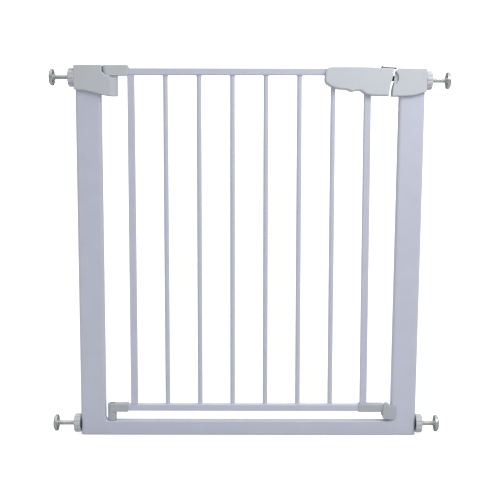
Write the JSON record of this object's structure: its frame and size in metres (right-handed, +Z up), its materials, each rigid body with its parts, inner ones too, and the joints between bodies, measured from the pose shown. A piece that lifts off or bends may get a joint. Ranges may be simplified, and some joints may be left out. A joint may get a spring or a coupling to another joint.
{
  "type": "safety baby gate",
  "caption": "Pressure-fit safety gate: a steel frame clamps between two walls by screw-out pads, and a barred door with a slide latch lifts and swings open.",
  "frame": {"origin": "middle of the threshold rail's underside, on the floor", "axes": "+X along the gate from the hinge post to the latch post, +Y towards the side the door opens to, +Z up"},
  "size_m": [0.8221, 0.039, 0.7699],
  "materials": {
    "powder_coat": "satin white powder coat with a cool cast",
    "grey_plastic": "fine-textured light grey moulding",
    "handle_plastic": "smooth pale grey moulding",
    "dark_nylon": "dark moulded nylon",
    "latch_plastic": "black acetal",
    "slide_plate": "brown-grey metal plate",
    "zinc_steel": "bright zinc plating",
    "pad_rubber": "dark rubber"
  },
  "bodies": {
    "frame": {"left_post": "powder_coat", "right_post": "powder_coat", "threshold_rail": "powder_coat", "hinge_housing_front": "grey_plastic", "hinge_housing_rear": "grey_plastic", "hinge_housing_screw_upper": "zinc_steel", "hinge_housing_screw_lower": "zinc_steel", "upper_hinge_socket": "dark_nylon", "lower_hinge_bush": "dark_nylon", "striker_housing_front": "grey_plastic", "striker_housing_rear": "grey_plastic", "striker_housing_screw_upper": "zinc_steel", "striker_housing_screw_lower": "zinc_steel", "lower_keeper": "grey_plastic", "keeper_screw": "zinc_steel", "spindle_bush_upper_left": "dark_nylon", "spindle_bush_lower_left": "dark_nylon", "spindle_bush_upper_right": "dark_nylon", "spindle_bush_lower_right": "dark_nylon"},
    "hinge_pins": {"upper_hinge_pin": "zinc_steel", "lower_hinge_pin": "zinc_steel"},
    "door": {"top_rail": "powder_coat", "bottom_rail": "powder_coat", "hinge_stile": "powder_coat", "latch_stile": "powder_coat", "bar_1": "powder_coat", "bar_2": "powder_coat", "bar_3": "powder_coat", "bar_4": "powder_coat", "bar_5": "powder_coat", "bar_6": "powder_coat", "hinge_arm": "grey_plastic", "lower_hinge_bracket": "grey_plastic", "lower_latch_cap": "grey_plastic", "handle_front": "handle_plastic", "handle_rear": "handle_plastic", "handle_screw_1": "zinc_steel", "handle_screw_2": "zinc_steel", "handle_screw_3": "zinc_steel"},
    "latch": {"latch_bolt": "latch_plastic", "slide_button": "slide_plate", "bolt_spring": "zinc_steel"},
    "nut_upper_left": {"adjuster_nut_upper_left": "grey_plastic"},
    "spindle_upper_left": {"tension_spindle_upper_left": "zinc_steel", "wall_pad_upper_left": "zinc_steel", "pad_rubber_upper_left": "pad_rubber"},
    "nut_lower_left": {"adjuster_nut_lower_left": "grey_plastic"},
    "spindle_lower_left": {"tension_spindle_lower_left": "zinc_steel", "wall_pad_lower_left": "zinc_steel", "pad_rubber_lower_left": "pad_rubber"},
    "nut_upper_right": {"adjuster_nut_upper_right": "grey_plastic"},
    "spindle_upper_right": {"tension_spindle_upper_right": "zinc_steel", "wall_pad_upper_right": "zinc_steel", "pad_rubber_upper_right": "pad_rubber"},
    "nut_lower_right": {"adjuster_nut_lower_right": "grey_plastic"},
    "spindle_lower_right": {"tension_spindle_lower_right": "zinc_steel", "wall_pad_lower_right": "zinc_steel", "pad_rubber_lower_right": "pad_rubber"}
  },
  "joints": [
    {"name": "door_lift", "type": "slide", "parent": "frame", "child": "hinge_pins", "axis": [0, 0, 1], "range_m": [0, 0.01]},
    {"name": "door_swing", "type": "hinge", "parent": "hinge_pins", "child": "door", "pos_m": [-0.288, 0, 0.4], "axis": [0, 0, 1], "range_deg": [0, 90]},
    {"name": "latch_slide", "type": "slide", "parent": "door", "child": "latch", "axis": [-0.9984, 0, 0.0569], "range_m": [0, 0.009], "stiffness_N_per_m": 150, "springref_m": -0.006, "deforming": ["bolt_spring"]},
    {"name": "nut_spin_upper_left", "type": "hinge", "parent": "frame", "child": "nut_upper_left", "pos_m": [-0.362, 0, 0.7468], "axis": [1, 0, 0], "range_deg": [-3468, 4332]},
    {"name": "spindle_slide_upper_left", "type": "slide", "parent": "frame", "child": "spindle_upper_left", "axis": [-1, 0, 0], "range_m": [-0.012, 0.015]},
    {"name": "nut_spin_lower_left", "type": "hinge", "parent": "frame", "child": "nut_lower_left", "pos_m": [-0.362, 0, 0.0238], "axis": [1, 0, 0], "range_deg": [-3468, 4332]},
    {"name": "spindle_slide_lower_left", "type": "slide", "parent": "frame", "child": "spindle_lower_left", "axis": [-1, 0, 0], "range_m": [-0.012, 0.015]},
    {"name": "nut_spin_upper_right", "type": "hinge", "parent": "frame", "child": "nut_upper_right", "pos_m": [0.36886, 0, 0.74138], "axis": [-1, 0, 0.0093], "range_deg": [-3468, 4332]},
    {"name": "spindle_slide_upper_right", "type": "slide", "parent": "frame", "child": "spindle_upper_right", "axis": [1, 0, -0.0093], "range_m": [-0.012, 0.015]},
    {"name": "nut_spin_lower_right", "type": "hinge", "parent": "frame", "child": "nut_lower_right", "pos_m": [0.36222, 0, 0.02372], "axis": [-1, 0, 0.0093], "range_deg": [-3468, 4332]},
    {"name": "spindle_slide_lower_right", "type": "slide", "parent": "frame", "child": "spindle_lower_right", "axis": [1, 0, -0.0093], "range_m": [-0.012, 0.015]}
  ],
  "couplings": [
    {"joint": "nut_spin_upper_left", "follows": "spindle_slide_upper_left", "rad_per_m": 5026.5},
    {"joint": "nut_spin_lower_left", "follows": "spindle_slide_lower_left", "rad_per_m": 5026.5},
    {"joint": "nut_spin_upper_right", "follows": "spindle_slide_upper_right", "rad_per_m": 5026.5},
    {"joint": "nut_spin_lower_right", "follows": "spindle_slide_lower_right", "rad_per_m": 5026.5}
  ]
}
